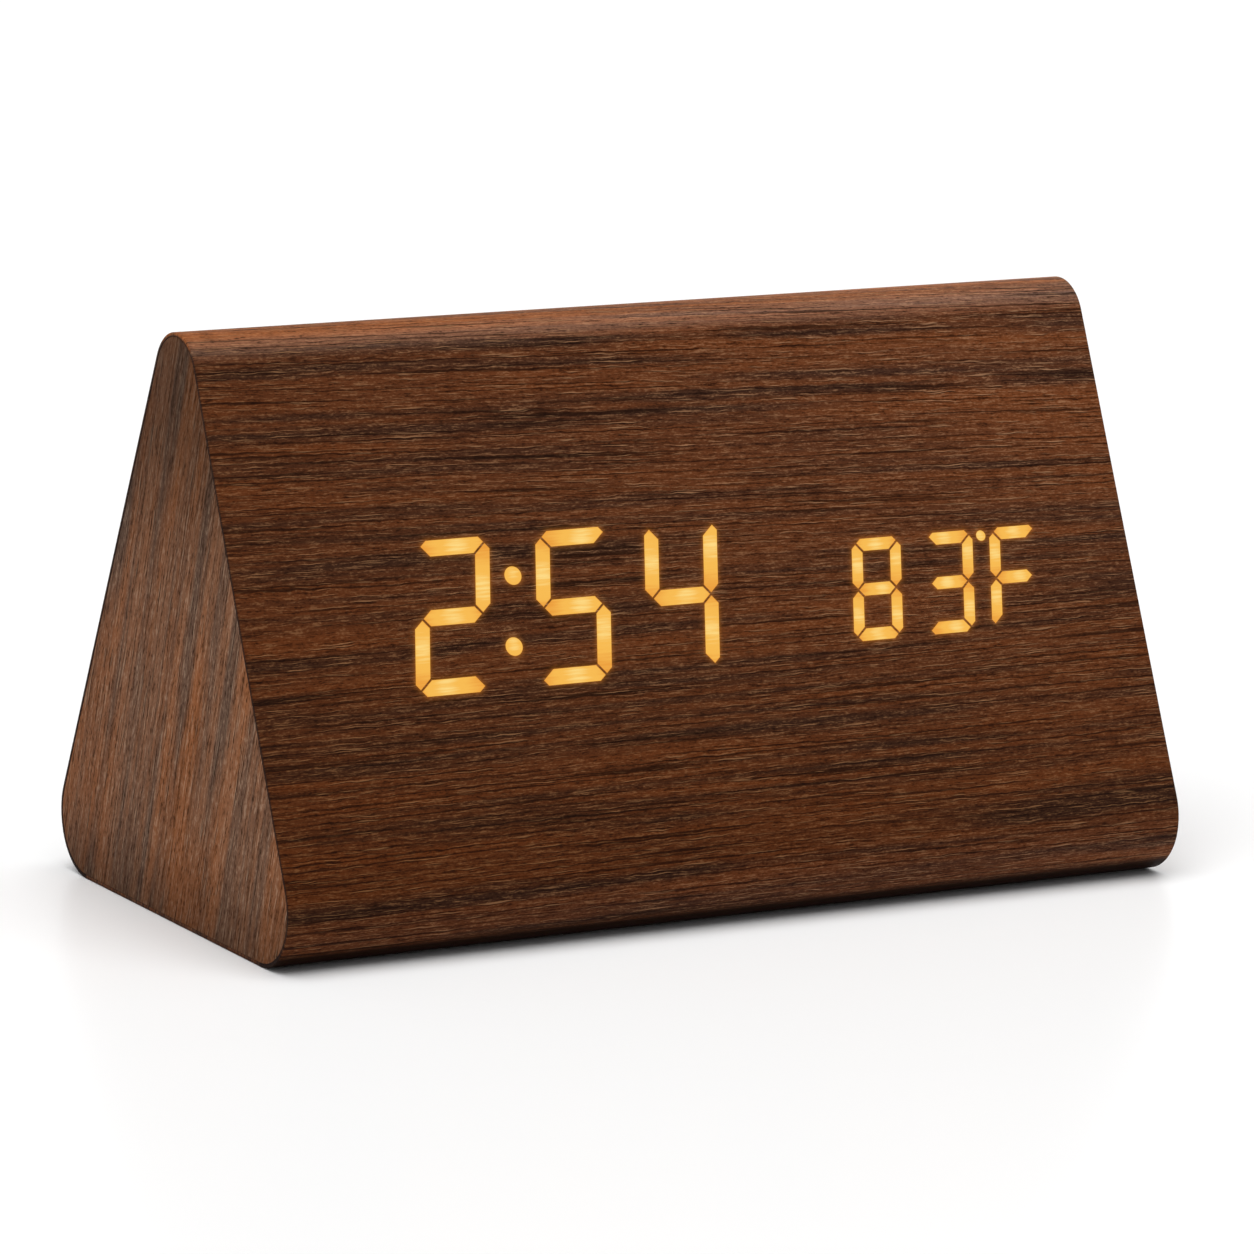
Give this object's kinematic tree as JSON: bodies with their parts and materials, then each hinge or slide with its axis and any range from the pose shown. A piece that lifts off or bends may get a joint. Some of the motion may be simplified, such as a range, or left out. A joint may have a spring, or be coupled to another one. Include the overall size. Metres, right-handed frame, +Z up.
{
  "type": "wooden digital alarm clock",
  "caption": "Three-sided wood-veneered desk clock with a segment display shining through its front and a rear insert with buttons, socket and battery bay.",
  "frame": {"origin": "middle of the base on the table plane", "axes": "+X along the ridge to the right seen from the front, front faces -Y, +Z up"},
  "size_m": [0.15, 0.076, 0.0865],
  "materials": {
    "mdf": "raw fibreboard",
    "walnut_veneer": "dark walnut veneer, satin, grain along the case",
    "end_veneer": "dark walnut veneer, satin, grain up the end",
    "lit_amber": "amber light through the veneer",
    "white_plastic": "moulded",
    "led_lens": "clear amber resin",
    "circuit_board": "green solder mask",
    "chip_epoxy": "moulded epoxy",
    "zinc_steel": "zinc plated",
    "nickel_steel": "nickel plated",
    "ribbon_pvc": "grey ribbon cable",
    "black_abs": "fine spark-eroded texture",
    "button_abs": "satin",
    "cell_jacket": "printed cell jacket, plain",
    "red_pvc": "wire insulation",
    "black_pvc": "wire insulation",
    "socket_nylon": "moulded",
    "capacitor_sleeve": "shrink sleeve"
  },
  "bodies": {
    "case": {"front_board": "mdf", "rear_board": "mdf", "base_board": "mdf", "left_end_cheek": "mdf", "right_end_cheek": "mdf", "wrap_veneer": "walnut_veneer", "base_veneer": "walnut_veneer", "left_end_veneer": "end_veneer", "right_end_veneer": "end_veneer", "time_digits": "lit_amber", "time_colon": "lit_amber", "temperature_digits": "lit_amber", "temperature_unit": "lit_amber", "display_film": "white_plastic", "display_reflector": "white_plastic", "display_leds": "led_lens", "display_board": "circuit_board", "display_driver_chip": "chip_epoxy", "display_board_screws": "zinc_steel", "ribbon_connectors": "white_plastic", "display_ribbon": "ribbon_pvc", "rear_panel": "black_abs", "rear_panel_screws": "zinc_steel", "aaa_cells": "cell_jacket", "battery_springs": "nickel_steel", "battery_positive_plate": "nickel_steel", "battery_negative_plate": "nickel_steel", "battery_bridge_plate": "nickel_steel", "battery_positive_lead": "red_pvc", "battery_negative_lead": "black_pvc", "main_board": "circuit_board", "main_board_screws": "zinc_steel", "push_switches": "chip_epoxy", "power_socket": "socket_nylon", "power_socket_pin": "nickel_steel", "buzzer": "chip_epoxy", "microphone": "zinc_steel", "temperature_sensor": "chip_epoxy", "controller_chip": "chip_epoxy", "clock_crystal": "zinc_steel", "capacitors": "capacitor_sleeve"},
    "set_button": {"set_button": "button_abs", "set_switch_plunger": "white_plastic"},
    "up_button": {"up_button": "button_abs", "up_switch_plunger": "white_plastic"},
    "down_button": {"down_button": "button_abs", "down_switch_plunger": "white_plastic"},
    "battery_door": {"battery_door": "black_abs"}
  },
  "joints": [
    {"name": "set_press", "type": "slide", "parent": "case", "child": "set_button", "axis": [0, -0.9145, -0.4046], "range_m": [0, 0.0005], "stiffness_N_per_m": 1000},
    {"name": "up_press", "type": "slide", "parent": "case", "child": "up_button", "axis": [0, -0.9145, -0.4046], "range_m": [0, 0.0005], "stiffness_N_per_m": 1000},
    {"name": "down_press", "type": "slide", "parent": "case", "child": "down_button", "axis": [0, -0.9145, -0.4046], "range_m": [0, 0.0005], "stiffness_N_per_m": 1000},
    {"name": "battery_door_hinge", "type": "hinge", "parent": "case", "child": "battery_door", "pos_m": [0, 0.02956, 0.02652], "axis": [-1, 0, 0], "range_deg": [0, 90]}
  ]
}
